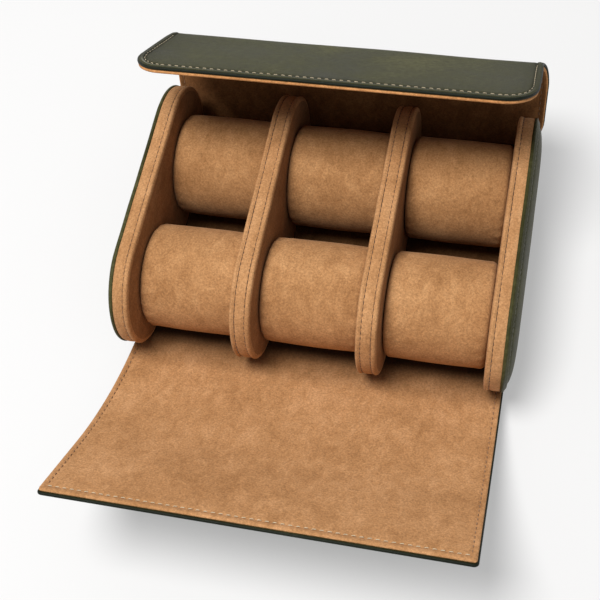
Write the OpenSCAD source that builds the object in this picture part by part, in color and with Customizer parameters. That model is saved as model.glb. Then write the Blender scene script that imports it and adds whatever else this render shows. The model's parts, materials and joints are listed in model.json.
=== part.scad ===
// Watch travel case for six watches, shown open.
// X runs across the case, Y from the front flap to the top flap, and Z up
// from the surface the case lies on. The origin is on that surface, under the
// middle of the body. Both flaps are chains of flat links, hinged on the
// lining's face, so that they can lie round the body's rounded ends.

/* [Body] */
// Width over the two end panels
body_w = 194; // [176:1:224]
// Length of the panels' rounded outline
body_len = 148; // [144:1:164]
// Depth of the outline, whose ends are half circles
body_depth = 66; // [64:1:72]
// Thickness of an end panel
panel_t = 9.5; // [7:0.5:14]
// Thickness of a divider
divider_t = 10.5; // [7:0.5:14]
// Suede that covers panels, dividers and pillows
cloth_t = 1.2; // [0.8:0.1:1.6]

/* [Wrap] */
// How far the wrap stands out past the end panels on each side
wrap_reach = 0; // [0:0.5:5]
// Leather of the wrap and of the end panels' outer faces
leather_t = 1.5; // [1:0.1:2]
// Backed suede lining of the wrap
lining_t = 1.7; // [1.4:0.1:2.2]
// Stiffening board let into the back of the lining
board_t = 0.9; // [0.6:0.1:1.1]
// Border round each board, where leather and lining are sewn
board_margin = 8; // [6:0.5:12]

/* [Front flap] */
// Angle round the front end at which the flap leaves the body
front_leave = 18.5; // [16:0.5:32]
// Turn at each of the flap's later folds as it lies open
front_curl = 4.5; // [1:0.25:7]
// How far the shut flaps overlap, the top flap outermost
flap_overlap = 18.5; // [17:0.5:30]

/* [Top flap] */
// Angle round the top end at which the flap leaves the body
top_leave = 68; // [54:1:70]
// Turn at each of the flap's two lower folds as it stands open
top_lean = 3; // [0:0.5:5]
// Turn at each of the two folds of the set bend
bend_turn = 34; // [32:0.5:40]
// Length of the flap over the open face when shut
top_face_len = 57; // [42:1:62]
// Radius of the flap's two free corners
corner_r = 14; // [6:1:20]

/* [Pillows] */
// Diameter of a pillow
pillow_d = 54; // [48:1:58]
// Gap between the two rows of pillows
row_gap = 15; // [8:1:20]
// How much thinner a pillow is at its ends than at its middle
pillow_crown = 1.4; // [0.4:0.2:3]
// Radius of the soft edge round a pillow's ends
pillow_edge = 5; // [3:0.5:8]

/* [Closure] */
// Length of a magnet along the flap's edge
magnet_len = 34; // [20:1:50]
// Width of a magnet
magnet_w = 10; // [6:1:12]
// Distance between the middles of a flap's two magnets
magnet_span = 90; // [60:1:120]

/* [Hidden] */
$fn = 96;

leather_colour = [0.28, 0.30, 0.24];
suede_colour = [0.76, 0.57, 0.39];
strip_colour = [0.72, 0.52, 0.34];
board_colour = [0.45, 0.40, 0.34];
foam_colour = [0.90, 0.88, 0.80];
magnet_colour = [0.62, 0.63, 0.65];

// clearances
seat_gap = 0.15;    // panel edge to wrap lining
pillow_gap = 0.3;   // pillow to lining and to the bay's sides
flap_gap = 0.4;     // shut flap to what lies under it
fold_gap = 0.3;     // between two links laid flat
corner_gap = 2.2;   // a shut top flap's stand-off at its set bend
end_steps = 16;     // facets round each end of the back
magnet_edge = 1.5;  // magnet to the board's free edge
glue_gap = 0.05;    // glue line round boards and magnets
edge_steps = 6;     // facets round a pillow's soft edge
crown_steps = 6;    // facets along a pillow's crown

// the body's outline, in the YZ plane
wrap_t = leather_t + lining_t;
wrap_w = body_w + 2 * wrap_reach;
end_r = body_depth / 2;
half_run = body_len / 2 - end_r;
mid_z = wrap_t + end_r;
bay_w = (body_w - 2 * panel_t - 2 * divider_t) / 3;
pillow_len = bay_w - 2 * pillow_gap;

// the shut flaps meet over the open face, with their magnets in the middle of the overlap
front_face_len = 2 * half_run + flap_overlap - top_face_len;
magnet_in = flap_overlap / 2;
board_end = magnet_in - magnet_w / 2 - magnet_edge;

// front flap: six equal folds when shut
front_folds = 6;
front_turn = (180 - front_leave) / front_folds;
front_off = [end_r, for (i = [1:front_folds]) end_r + flap_gap];
front_turns = [for (i = [1:front_folds]) front_turn];
front_rest = [0, for (i = [2:front_folds]) front_curl];
front_relief = [16, 0, 0, 0, 0, 0, 0]; // bevel that lets a fold open past flat

// top flap: two lower folds and the two of its set bend; it shuts over the front flap
top_folds = 4;
top_turn = (180 - top_leave - 2 * bend_turn) / 2;
top_off = [
    end_r,
    end_r + flap_gap,
    end_r + 2 * flap_gap,
    end_r + 2 * flap_gap + wrap_t + corner_gap,
    end_r + 2 * flap_gap + wrap_t
];
top_turns = [top_turn, top_turn, bend_turn, bend_turn];
top_rest = [top_lean, top_lean, bend_turn, bend_turn];
top_relief = [19.5, 19.5, 0, 0, 0];

// run along a link's line from its foot to the fold where the next line, at distance b, crosses
function leg(a, b, turn) = (b - a * cos(turn)) / sin(turn);
function link_len(off, turns, i, face) =
    leg(off[i], off[i - 1], turns[i - 1])
    + (i < len(turns) ? leg(off[i], off[i + 1], turns[i]) : face);
function first_run(off, turns) = leg(off[0], off[1], turns[0]);
function link_dir(leave, rest, i) = i == 0 ? leave : link_dir(leave, rest, i - 1) + rest[i - 1];
// the fold at which link i starts, as [y, z] on the lining's face
function fold_at(off, turns, rest, leave, i) =
    i == 1
    ? [
        half_run + end_r * sin(leave) + first_run(off, turns) * cos(leave),
        mid_z - end_r * cos(leave) + first_run(off, turns) * sin(leave)
    ]
    : fold_at(off, turns, rest, leave, i - 1)
        + link_len(off, turns, i - 1, 0)
        * [cos(link_dir(leave, rest, i - 1)), sin(link_dir(leave, rest, i - 1))];

module along_x(x0, x1) {
    translate([x0, 0, 0]) rotate([90, 0, 90]) linear_extrude(x1 - x0) children();
}

// the panels' outline, drawn in by inset
module outline(inset) {
    for (y = [-half_run, half_run]) translate([y, mid_z]) circle(end_r - inset);
    translate([0, mid_z]) square([2 * half_run, 2 * (end_r - inset)], center = true);
}

// points on one end of the back, n under the lining's face, from the flat to the first fold
function back_end(n, leave, run, relief) = concat(
    [for (k = [0:end_steps])
        let (a = leave * k / end_steps)
        [half_run + (end_r + n) * sin(a), mid_z - (end_r + n) * cos(a)]],
    [[
        half_run + (end_r + n) * sin(leave) + (run - fold_gap / 2 - n * tan(relief)) * cos(leave),
        mid_z - (end_r + n) * cos(leave) + (run - fold_gap / 2 - n * tan(relief)) * sin(leave)
    ]]
);
function reversed(line) = [for (k = [len(line) - 1:-1:0]) line[k]];

// the whole back from the front fold to the top fold, n under the lining's face
function back_line(n) = concat(
    [for (p = reversed(back_end(n, front_leave, first_run(front_off, front_turns), front_relief[0])))
        [-p[0], p[1]]],
    back_end(n, top_leave, first_run(top_off, top_turns), top_relief[0])
);

// the back's cross-section between depths n0 and n1
module back_layer(n0, n1) {
    polygon(concat(back_line(n0), reversed(back_line(n1))));
}

// a flat link's layer between depths n0 and n1, from its fold along +Y, lining face at Z = 0
module link_layer(length, n0, n1, relief0, relief1) {
    a = fold_gap / 2;
    b = length - fold_gap / 2;
    along_x(-wrap_w / 2, wrap_w / 2) polygon([
        [a + n0 * tan(relief0), -n0], [b - n0 * tan(relief1), -n0],
        [b - n1 * tan(relief1), -n1], [a + n1 * tan(relief0), -n1]
    ]);
}

module front_link(i) {
    at = fold_at(front_off, front_turns, front_rest, front_leave, i);
    mirror([0, 1, 0]) translate([0, at[0], at[1]])
        rotate([link_dir(front_leave, front_rest, i), 0, 0]) children();
}

module top_link(i) {
    at = fold_at(top_off, top_turns, top_rest, top_leave, i);
    translate([0, at[0], at[1]]) rotate([link_dir(top_leave, top_rest, i), 0, 0]) children();
}

front_last = link_len(front_off, front_turns, front_folds, front_face_len);
top_last = link_len(top_off, top_turns, top_folds, top_face_len);

// a block between two corners, drawn in by skin on every side
module block(low, high, skin) {
    translate(low + [skin, skin, skin]) cube(high - low - 2 * [skin, skin, skin]);
}

// the room a face link's board takes, and the windows in it for the magnets
module board_room(length, skin) {
    block(
        [-wrap_w / 2 + board_margin, board_margin, -lining_t],
        [wrap_w / 2 - board_margin, length - board_end, board_t - lining_t],
        skin);
}
module magnet_room(length, skin) {
    for (x = [-magnet_span / 2, magnet_span / 2])
        block(
            [x - magnet_len / 2, length - magnet_in - magnet_w / 2, -lining_t],
            [x + magnet_len / 2, length - magnet_in + magnet_w / 2, board_t - lining_t],
            skin);
}

// the top flap's face link in plan, with round free corners
module top_plan() {
    rest_len = top_last - corner_r;
    translate([-wrap_w / 2, 0]) square([wrap_w, rest_len]);
    translate([-wrap_w / 2 + corner_r, 0]) square([wrap_w - 2 * corner_r, top_last]);
    for (x = [-1, 1]) translate([x * (wrap_w / 2 - corner_r), rest_len]) circle(corner_r);
}

module rounded_free_edge() {
    intersection() {
        children();
        translate([0, 0, -2 * wrap_t]) linear_extrude(4 * wrap_t) top_plan();
    }
}

module back_leather() {
    color(leather_colour) along_x(-wrap_w / 2, wrap_w / 2) back_layer(lining_t, wrap_t);
}

module back_board() {
    color(board_colour) back_board_room(glue_gap);
}

module back_board_room(skin) {
    block(
        [-wrap_w / 2 + board_margin, -half_run, leather_t],
        [wrap_w / 2 - board_margin, half_run, leather_t + board_t],
        skin);
}

module back_lining() {
    color(suede_colour) difference() {
        along_x(-wrap_w / 2, wrap_w / 2) back_layer(0, lining_t);
        back_board_room(0);
    }
}

module front_leather(i) {
    color(leather_colour) front_link(i) link_layer(
        link_len(front_off, front_turns, i, front_face_len),
        lining_t, wrap_t, front_relief[i - 1], front_relief[i]);
}

module front_lining(i) {
    color(suede_colour) front_link(i) difference() {
        link_layer(
            link_len(front_off, front_turns, i, front_face_len),
            0, lining_t, front_relief[i - 1], front_relief[i]);
        if (i == front_folds) board_room(front_last, 0);
    }
}

module front_board() {
    color(board_colour) front_link(front_folds) difference() {
        board_room(front_last, glue_gap);
        magnet_room(front_last, 0);
    }
}

module front_magnets() {
    color(magnet_colour) front_link(front_folds) magnet_room(front_last, glue_gap);
}

module top_layer(i, n0, n1) {
    length = link_len(top_off, top_turns, i, top_face_len);
    if (i == top_folds)
        rounded_free_edge() link_layer(length, n0, n1, top_relief[i - 1], top_relief[i]);
    else
        link_layer(length, n0, n1, top_relief[i - 1], top_relief[i]);
}

module top_leather(i) {
    color(leather_colour) top_link(i) top_layer(i, lining_t, wrap_t);
}

module top_lining(i) {
    color(suede_colour) top_link(i) difference() {
        top_layer(i, 0, lining_t);
        if (i == top_folds) board_room(top_last, 0);
    }
}

module top_board() {
    color(board_colour) top_link(top_folds) difference() {
        board_room(top_last, glue_gap);
        magnet_room(top_last, 0);
    }
}

module top_magnets() {
    color(magnet_colour) top_link(top_folds) magnet_room(top_last, glue_gap);
}

// an upright sheet of the outline's shape, from x0 to x1
module sheet_in_gusset(x0, x1) {
    along_x(x0, x1) outline(seat_gap + cloth_t);
}

module gusset(x0, x1) {
    along_x(x0, x1) difference() {
        outline(seat_gap);
        outline(seat_gap + cloth_t);
    }
}

// end panels are drawn on the left; side = 1 mirrors them to the right
module end_side(side) {
    if (side > 0) mirror([1, 0, 0]) children();
    else children();
}

module panel_leather(side) {
    color(leather_colour) end_side(side)
        along_x(-body_w / 2, -body_w / 2 + leather_t) outline(seat_gap);
}

module panel_core(side) {
    color(board_colour) end_side(side)
        sheet_in_gusset(-body_w / 2 + leather_t, -body_w / 2 + panel_t - cloth_t);
}

module panel_gusset(side) {
    color(strip_colour) end_side(side)
        gusset(-body_w / 2 + leather_t, -body_w / 2 + panel_t);
}

module panel_lining(side) {
    color(suede_colour) end_side(side)
        sheet_in_gusset(-body_w / 2 + panel_t - cloth_t, -body_w / 2 + panel_t);
}

// a divider's middle plane, left (-1) or right (1)
function divider_x(side) = side * (bay_w + divider_t) / 2;

module divider_core(side) {
    x = divider_x(side);
    color(board_colour)
        sheet_in_gusset(x - divider_t / 2 + cloth_t, x + divider_t / 2 - cloth_t);
}

module divider_gusset(side) {
    x = divider_x(side);
    color(strip_colour) gusset(x - divider_t / 2, x + divider_t / 2);
}

// the suede on a divider's left (-1) or right (1) face
module divider_face(side, face) {
    x = divider_x(side) + face * (divider_t - cloth_t) / 2;
    color(suede_colour) sheet_in_gusset(x - cloth_t / 2, x + cloth_t / 2);
}

// half of a pillow's profile: radius against distance from one end
function crown(x, length) = pillow_crown * pow(2 * x / length - 1, 2);
function pillow_profile(d, length, edge) = concat(
    [[0, 0]],
    [for (i = [0:edge_steps])
        let (a = 90 * i / edge_steps, x = edge * (1 - cos(a)))
        [d / 2 - crown(x, length) - edge * (1 - sin(a)), x]],
    [for (i = [1:crown_steps - 1])
        let (x = edge + (length - 2 * edge) * i / crown_steps)
        [d / 2 - crown(x, length), x]],
    [for (i = [0:edge_steps])
        let (a = 90 - 90 * i / edge_steps, x = length - edge * (1 - cos(a)))
        [d / 2 - crown(x, length) - edge * (1 - sin(a)), x]],
    [[0, length]]
);

// a closed cushion drawn in by skin on every side, on its place in a bay; row -1 is the front one
module cushion(row, bay, skin) {
    x0 = bay * (bay_w + divider_t) - pillow_len / 2 + skin;
    translate([x0, row * (pillow_d + row_gap) / 2, wrap_t + pillow_gap + pillow_d / 2])
        rotate([0, 90, 0]) rotate_extrude()
            polygon(pillow_profile(pillow_d - 2 * skin, pillow_len - 2 * skin, pillow_edge - skin));
}

module pillow_core(row, bay) {
    color(foam_colour) cushion(row, bay, cloth_t);
}

module pillow_cover(row, bay) {
    color(suede_colour) difference() {
        cushion(row, bay, 0);
        cushion(row, bay, cloth_t);
    }
}

back_leather();
back_board();
back_lining();
panel_leather(-1);  // left_panel_leather
panel_core(-1);  // left_panel_core
panel_gusset(-1);  // left_panel_gusset
panel_lining(-1);  // left_panel_lining
panel_leather(1);  // right_panel_leather
panel_core(1);  // right_panel_core
panel_gusset(1);  // right_panel_gusset
panel_lining(1);  // right_panel_lining
divider_core(-1);  // left_divider_core
divider_gusset(-1);  // left_divider_gusset
divider_face(-1, -1);  // left_divider_left_face
divider_face(-1, 1);  // left_divider_right_face
divider_core(1);  // right_divider_core
divider_gusset(1);  // right_divider_gusset
divider_face(1, -1);  // right_divider_left_face
divider_face(1, 1);  // right_divider_right_face
front_leather(1);  // front_flap_leather_1
front_leather(2);  // front_flap_leather_2
front_leather(3);  // front_flap_leather_3
front_leather(4);  // front_flap_leather_4
front_leather(5);  // front_flap_leather_5
front_leather(6);  // front_flap_leather_6
front_lining(1);  // front_flap_lining_1
front_lining(2);  // front_flap_lining_2
front_lining(3);  // front_flap_lining_3
front_lining(4);  // front_flap_lining_4
front_lining(5);  // front_flap_lining_5
front_lining(6);  // front_flap_lining_6
front_board();  // front_flap_board
front_magnets();  // front_flap_magnets
top_leather(1);  // top_flap_leather_1
top_leather(2);  // top_flap_leather_2
top_leather(3);  // top_flap_leather_3
top_leather(4);  // top_flap_leather_4
top_lining(1);  // top_flap_lining_1
top_lining(2);  // top_flap_lining_2
top_lining(3);  // top_flap_lining_3
top_lining(4);  // top_flap_lining_4
top_board();  // top_flap_board
top_magnets();  // top_flap_magnets
pillow_core(-1, -1);  // pillow_front_left_core
pillow_cover(-1, -1);  // pillow_front_left_cover
pillow_core(-1, 0);  // pillow_front_middle_core
pillow_cover(-1, 0);  // pillow_front_middle_cover
pillow_core(-1, 1);  // pillow_front_right_core
pillow_cover(-1, 1);  // pillow_front_right_cover
pillow_core(1, -1);  // pillow_back_left_core
pillow_cover(1, -1);  // pillow_back_left_cover
pillow_core(1, 0);  // pillow_back_middle_core
pillow_cover(1, 0);  // pillow_back_middle_cover
pillow_core(1, 1);  // pillow_back_right_core
pillow_cover(1, 1);  // pillow_back_right_cover
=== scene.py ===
import json
from math import acos, atan2, ceil, copysign, cos, exp, hypot, pi, radians, sin

import bpy
import numpy as np
from mathutils import Matrix, Vector, noise


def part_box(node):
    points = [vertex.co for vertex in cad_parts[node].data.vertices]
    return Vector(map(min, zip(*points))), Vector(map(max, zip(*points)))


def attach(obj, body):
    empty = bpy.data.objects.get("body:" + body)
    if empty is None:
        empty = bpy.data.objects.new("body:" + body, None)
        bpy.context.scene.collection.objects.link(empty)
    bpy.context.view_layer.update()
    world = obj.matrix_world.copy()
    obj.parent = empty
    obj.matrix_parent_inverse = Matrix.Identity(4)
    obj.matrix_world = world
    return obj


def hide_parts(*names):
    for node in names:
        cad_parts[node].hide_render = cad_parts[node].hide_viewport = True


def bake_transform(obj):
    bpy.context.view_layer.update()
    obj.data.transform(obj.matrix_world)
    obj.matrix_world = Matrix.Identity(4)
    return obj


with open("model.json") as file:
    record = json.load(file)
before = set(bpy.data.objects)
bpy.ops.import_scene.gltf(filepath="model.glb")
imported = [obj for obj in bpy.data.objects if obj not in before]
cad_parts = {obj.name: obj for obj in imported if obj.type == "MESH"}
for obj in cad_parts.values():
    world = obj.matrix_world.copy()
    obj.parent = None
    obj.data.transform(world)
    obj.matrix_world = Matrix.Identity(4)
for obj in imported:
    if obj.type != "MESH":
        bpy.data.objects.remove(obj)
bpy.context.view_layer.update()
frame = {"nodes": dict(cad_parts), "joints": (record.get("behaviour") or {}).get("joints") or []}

# The looks of the watch travel case. Lengths are in millimetres until a mesh is made. On the wrap, x goes
# across it and s, the run, goes along the lining's face from the front flap's free edge to the top flap's.
MM = 0.001

# ---- sizes

def box_mm(node):
    low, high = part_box(node)
    return np.array(low) / MM, np.array(high) / MM


LEATHER_T = 1.5
LINING_T = 1.7
WRAP_T = LEATHER_T + LINING_T
WRAP_FLARE = 3.4        # how far each side of the top flap's wall spreads
BEND_PINCH = 0.7        # how far it is drawn in beyond the bend over the case
TIP_NARROW = 0.8        # and at the top flap's tip
TOP_ACROSS = 15.5       # the top flap's corners: their reach across the flap
TOP_ALONG = 23.0        # and along it
FRONT_CORNER_R = 2.5
LINING_INSET = 0.8      # how far the leather shows beyond the lining
LINING_INSET_TOP = 0.5
STITCH_IN = 3.4         # stitch line to the edge
STITCH_IN_FRONT = 4.2   # the same at the front flap's free edge
STITCH_IN_TOP = 6.0     # and at the top flap's
STITCH_PITCH = 3.4
STITCH_LEN = 2.1
THREAD_R = 0.21
SEAM_PITCH = 2.9        # stitches that close a gusset's seam
SEAM_STITCH = 2.0
SEAM_R = 0.20
LIP_W = 2.7             # rolled lip beside a gusset's seam
PUFF = 4.2              # how far an end panel's padded leather stands out
PANEL_STITCH_IN = 4.2   # the stitch line on that leather, from its rim
PILLOW_EDGE = 3.0       # rounding of the pillows' ends

# the CAD part's own sizes
WRAP_W = 2 * box_mm("back_leather")[1][0]
PANEL_LOW, PANEL_HIGH = box_mm("left_panel_gusset")
DIVIDER_LOW, DIVIDER_HIGH = box_mm("right_divider_gusset")
BODY_W = -2 * box_mm("left_panel_leather")[0][0]
PANEL_T = PANEL_HIGH[0] + BODY_W / 2
DIVIDER_T = DIVIDER_HIGH[0] - DIVIDER_LOW[0]
DIVIDER_X = (DIVIDER_LOW[0] + DIVIDER_HIGH[0]) / 2
MID_Z = (PANEL_LOW[2] + PANEL_HIGH[2]) / 2
PANEL_R = (PANEL_HIGH[2] - PANEL_LOW[2]) / 2
HALF_RUN = PANEL_HIGH[1] - PANEL_R
END_R = MID_Z - WRAP_T


# ---- material nodes

def new_material(name):
    material = bpy.data.materials.new(name)
    material.use_nodes = True
    tree = material.node_tree
    tree.nodes.clear()
    out = tree.nodes.new("ShaderNodeOutputMaterial")
    shader = tree.nodes.new("ShaderNodeBsdfPrincipled")
    tree.links.new(shader.outputs[0], out.inputs[0])
    return material, tree, shader


def set_inputs(node, values):
    for name, value in values.items():
        node.inputs[name].default_value = value


def noise_node(tree, coords, scale, detail, rough, distortion=0.0):
    node = tree.nodes.new("ShaderNodeTexNoise")
    set_inputs(node, {"Scale": scale, "Detail": detail, "Roughness": rough, "Distortion": distortion})
    tree.links.new(coords, node.inputs["Vector"])
    return node.outputs["Fac"]


def ramp(tree, value, stops):
    """Colours for a value. A stop is a place from 0 to 1 and its colour."""
    node = tree.nodes.new("ShaderNodeValToRGB")
    elements = node.color_ramp.elements
    while len(elements) < len(stops):
        elements.new(0.5)
    for element, (at, colour) in zip(elements, stops):
        element.position = at
        element.color = (*colour, 1.0)
    tree.links.new(value, node.inputs["Fac"])
    return node.outputs["Color"]


def math_node(tree, operation, a, b):
    """An operation on two values, which are numbers or sockets."""
    node = tree.nodes.new("ShaderNodeMath")
    node.operation = operation
    for socket, value in zip(node.inputs, (a, b)):
        if isinstance(value, (int, float)):
            socket.default_value = value
        else:
            tree.links.new(value, socket)
    return node.outputs[0]


def weighted(tree, a, a_share, b, b_share):
    """The sum of two values, each times its own share."""
    first = math_node(tree, "MULTIPLY", a, a_share)
    second = math_node(tree, "MULTIPLY", b, b_share)
    return math_node(tree, "ADD", first, second)


def multiplied(tree, colour, by, share=1.0):
    """A colour times another, as far as share says."""
    node = tree.nodes.new("ShaderNodeMix")
    node.data_type = "RGBA"
    node.blend_type = "MULTIPLY"
    node.inputs[0].default_value = share
    tree.links.new(colour, node.inputs[6])
    tree.links.new(by, node.inputs[7])
    return node.outputs[2]


def bump(tree, shader, height, strength, distance):
    node = tree.nodes.new("ShaderNodeBump")
    set_inputs(node, {"Strength": strength, "Distance": distance})
    tree.links.new(height, node.inputs["Height"])
    tree.links.new(node.outputs[0], shader.inputs["Normal"])


def object_coords(tree, stretch=(1, 1, 1)):
    coords = tree.nodes.new("ShaderNodeTexCoord")
    mapping = tree.nodes.new("ShaderNodeMapping")
    set_inputs(mapping, {"Scale": stretch})
    tree.links.new(coords.outputs["Object"], mapping.inputs["Vector"])
    return mapping.outputs[0]


def mottle(tree, shader, value, colour, darkest, low=0.35, high=0.65):
    """Colours the shader from darkest times the colour, at value low, to the colour at high."""
    darker = tuple(darkest * c for c in colour)
    tone = ramp(tree, value, [(low, darker), (high, colour)])
    tree.links.new(tone, shader.inputs["Base Color"])


# ---- materials

# what multiplies a tone, from the first place on its noise to the last
SPECKLE = [(0.32, (0.62, 0.60, 0.58)), (0.68, (1.32, 1.31, 1.30))]
# stops of the painted shade in the front flap's crease, darkest nearest the body
CREASE_SHADE_STOPS = [(0.0, (0.12, 0.11, 0.10)), (0.35, (0.40, 0.38, 0.36)), (1.0, (1.0, 1.0, 1.0))]
PORES = [(0.0, (0.0, 0.0, 0.0)), (0.18, (1.0, 1.0, 1.0))]

CREASE_SHADE = (-0.056, -0.078)   # Y in metres where the painted shade in the front flap's crease is darkest, and where the nap is plain
SHEEN_AND_SHADE = "sheen_and_shade"           # vertex attribute: how much lighter (plus, a painted highlight) or darker (minus, painted shade) the leather is
SHEEN_AND_SHADE_TONE = 0.55        # what a value of 1 of that attribute adds to the leather's tone
SHEEN_AND_SHADE_GLOSS = 0.16       # and takes from its roughness


def crease_shade_tone(tree, coords, dark_y, plain_y):
    """Painted shade, a grey to multiply by: dark at dark_y and white at plain_y."""
    split = tree.nodes.new("ShaderNodeSeparateXYZ")
    tree.links.new(coords, split.inputs[0])
    place = tree.nodes.new("ShaderNodeMapRange")
    set_inputs(place, {"From Min": dark_y, "From Max": plain_y})
    tree.links.new(split.outputs["Y"], place.inputs["Value"])
    return ramp(tree, place.outputs[0], CREASE_SHADE_STOPS)


def suede(name, dark, mid, light, nap=1.0, crease_shade=None):
    """Napped suede: brushed blotches and streaks, a speckle, and fibres and streaks in the bump.
    nap scales the streaks' bump, and the last argument, if given, paints shade into the front flap's crease
    by the body."""
    material, tree, shader = new_material(name)
    coords = object_coords(tree)
    blotch = noise_node(tree, coords, scale=38, detail=5.0, rough=0.62, distortion=0.3)
    stretched = object_coords(tree, stretch=(1.0, 0.5, 0.8))
    streak = noise_node(tree, stretched, scale=170, detail=4.0, rough=0.65, distortion=0.6)
    speck = noise_node(tree, coords, scale=1000, detail=3.0, rough=0.8)
    brushed = weighted(tree, blotch, 0.5, streak, 0.5)
    colour = ramp(tree, brushed, [(0.36, dark), (0.50, mid), (0.64, light)])
    colour = multiplied(tree, colour, ramp(tree, speck, SPECKLE), share=0.8)
    # painted shade, darker towards where the front flap leaves the body
    if crease_shade:
        colour = multiplied(tree, colour, crease_shade_tone(tree, coords, *crease_shade))
    tree.links.new(colour, shader.inputs["Base Color"])
    set_inputs(shader, {"Roughness": 0.95, "Specular IOR Level": 0.12, "Sheen Weight": 0.08,
                        "Sheen Roughness": 0.5, "Sheen Tint": (0.95, 0.78, 0.60, 1.0)})
    stretched = object_coords(tree, stretch=(1.0, 0.5, 1.0))
    fibres = noise_node(tree, stretched, scale=2600, detail=2.0, rough=0.75)
    bump(tree, shader, weighted(tree, fibres, 0.5, streak, 1.6 * nap), strength=0.55, distance=0.00035)
    return material


def leather(name, dark, mid, light, rough=0.46):
    """Smooth finished hide: pebbled grain, faint changes of tone, a painted highlight and painted shade
    from a vertex attribute, and a dull sheen.
    """
    material, tree, shader = new_material(name)
    coords = object_coords(tree)
    tone = noise_node(tree, coords, scale=17, detail=4.0, rough=0.6, distortion=0.3)
    fine = noise_node(tree, coords, scale=420, detail=3.0, rough=0.6)
    colour = ramp(tree, weighted(tree, tone, 0.7, fine, 0.3), [(0.36, dark), (0.52, mid), (0.68, light)])
    cells = tree.nodes.new("ShaderNodeTexVoronoi")
    cells.feature = "DISTANCE_TO_EDGE"
    set_inputs(cells, {"Scale": 1150})
    tree.links.new(coords, cells.inputs["Vector"])
    pores = ramp(tree, cells.outputs["Distance"], PORES)
    colour = multiplied(tree, colour, pores, share=0.16)
    # a vertex attribute paints a highlight (plus) and shade (minus) into the tone, and eases the roughness
    # with it
    sheen_and_shade = tree.nodes.new("ShaderNodeAttribute")
    sheen_and_shade.attribute_name = SHEEN_AND_SHADE
    sheen_and_shade_factor = math_node(tree, "ADD", 1.0, math_node(tree, "MULTIPLY", sheen_and_shade.outputs["Fac"], SHEEN_AND_SHADE_TONE))
    tree.links.new(multiplied(tree, colour, sheen_and_shade_factor), shader.inputs["Base Color"])
    gloss = ramp(tree, tone, [(0.3, (rough - 0.07,) * 3), (0.7, (rough + 0.09,) * 3)])
    gloss = math_node(tree, "SUBTRACT", gloss, math_node(tree, "MULTIPLY", sheen_and_shade.outputs["Fac"], SHEEN_AND_SHADE_GLOSS))
    tree.links.new(gloss, shader.inputs["Roughness"])
    set_inputs(shader, {"Specular IOR Level": 0.08})
    bump(tree, shader, weighted(tree, pores, 0.5, fine, 0.9), strength=0.32, distance=0.00022)
    return material


def thread(name, colour):
    """Twisted thread: strands that run across each stitch."""
    material, tree, shader = new_material(name)
    twist = noise_node(tree, object_coords(tree), scale=2200, detail=2.0, rough=0.6)
    mottle(tree, shader, twist, colour, darkest=0.62)
    set_inputs(shader, {"Roughness": 0.7, "Sheen Weight": 0.2})
    bump(tree, shader, twist, strength=0.5, distance=0.0001)
    return material


def inner_stuff(name, colour, scale):
    """Board, foam and plate that the covers hide."""
    material, tree, shader = new_material(name)
    grain = noise_node(tree, object_coords(tree), scale, detail=4.0, rough=0.6)
    mottle(tree, shader, grain, colour, darkest=0.8)
    set_inputs(shader, {"Roughness": 0.85})
    bump(tree, shader, grain, strength=0.3, distance=0.0003)
    return material


# a suede's and a leather's dark, middle and light tones
# the lining's suede, with painted shade in the front flap's crease by the body
SUEDE = suede("suede_lining", (0.385, 0.188, 0.075), (0.475, 0.243, 0.104),
              (0.57, 0.305, 0.142), crease_shade=CREASE_SHADE)
# a darker copy of the suede for faces below the gussets' lips: painted shade
SUEDE_SHADED_INSIDE = suede("suede_painted_shade_inside", (0.255, 0.120, 0.046), (0.315, 0.154, 0.062), (0.38, 0.193, 0.083))
# a nearly black copy of the suede for the case's floor between the pillows: painted shade
SUEDE_SHADED_FLOOR = suede("suede_painted_shade_floor", (0.075, 0.032, 0.011), (0.100, 0.045, 0.016), (0.130, 0.060, 0.023))
SUEDE_EDGE = suede("suede_cut_edge", (0.43, 0.195, 0.070), (0.53, 0.250, 0.094), (0.62, 0.310, 0.125))
SUEDE_STRIP = suede("suede_strip", (0.39, 0.192, 0.078), (0.475, 0.246, 0.107),
                    (0.56, 0.305, 0.142), nap=0.6)
SUEDE_PILLOW = suede("suede_pillow", (0.360, 0.176, 0.070), (0.450, 0.232, 0.098),
                     (0.54, 0.293, 0.131), nap=0.8)
# a darker copy of the pillows' suede for the back row under the top flap: painted shade
SUEDE_PILLOW_SHADED = suede("suede_pillow_painted_shade", (0.320, 0.155, 0.060), (0.400, 0.204, 0.084),
                          (0.485, 0.260, 0.113), nap=0.8)
# a darker copy of the suede for the wall under the top flap: painted shade
SUEDE_SHADED_WALL = suede("suede_painted_shade_wall", (0.165, 0.068, 0.022), (0.225, 0.098, 0.034), (0.30, 0.138, 0.050))
LEATHER = leather("leather_green", (0.026, 0.026, 0.008), (0.052, 0.051, 0.017), (0.108, 0.104, 0.044))
LEATHER_EDGE = leather("leather_edge", (0.012, 0.016, 0.010), (0.020, 0.025, 0.016),
                       (0.034, 0.040, 0.028), rough=0.38)
THREAD = thread("thread_cream", (0.52, 0.43, 0.28))
THREAD_INNER = thread("thread_pale", (0.70, 0.57, 0.38))
THREAD_GREEN = thread("thread_green", (0.17, 0.17, 0.125))
THREAD_TAN = thread("thread_tan", (0.30, 0.155, 0.068))
THREAD_DARK = thread("thread_dark", (0.085, 0.040, 0.017))
BOARD = inner_stuff("fibreboard", (0.40, 0.33, 0.25), scale=300)
FOAM = inner_stuff("foam", (0.82, 0.79, 0.68), scale=900)
PLATE = inner_stuff("plated_steel", (0.55, 0.56, 0.58), scale=120)


# ---- mesh helpers

def add_object(name, data):
    thing = bpy.data.objects.new(name, data)
    bpy.context.scene.collection.objects.link(thing)
    return thing


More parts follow.
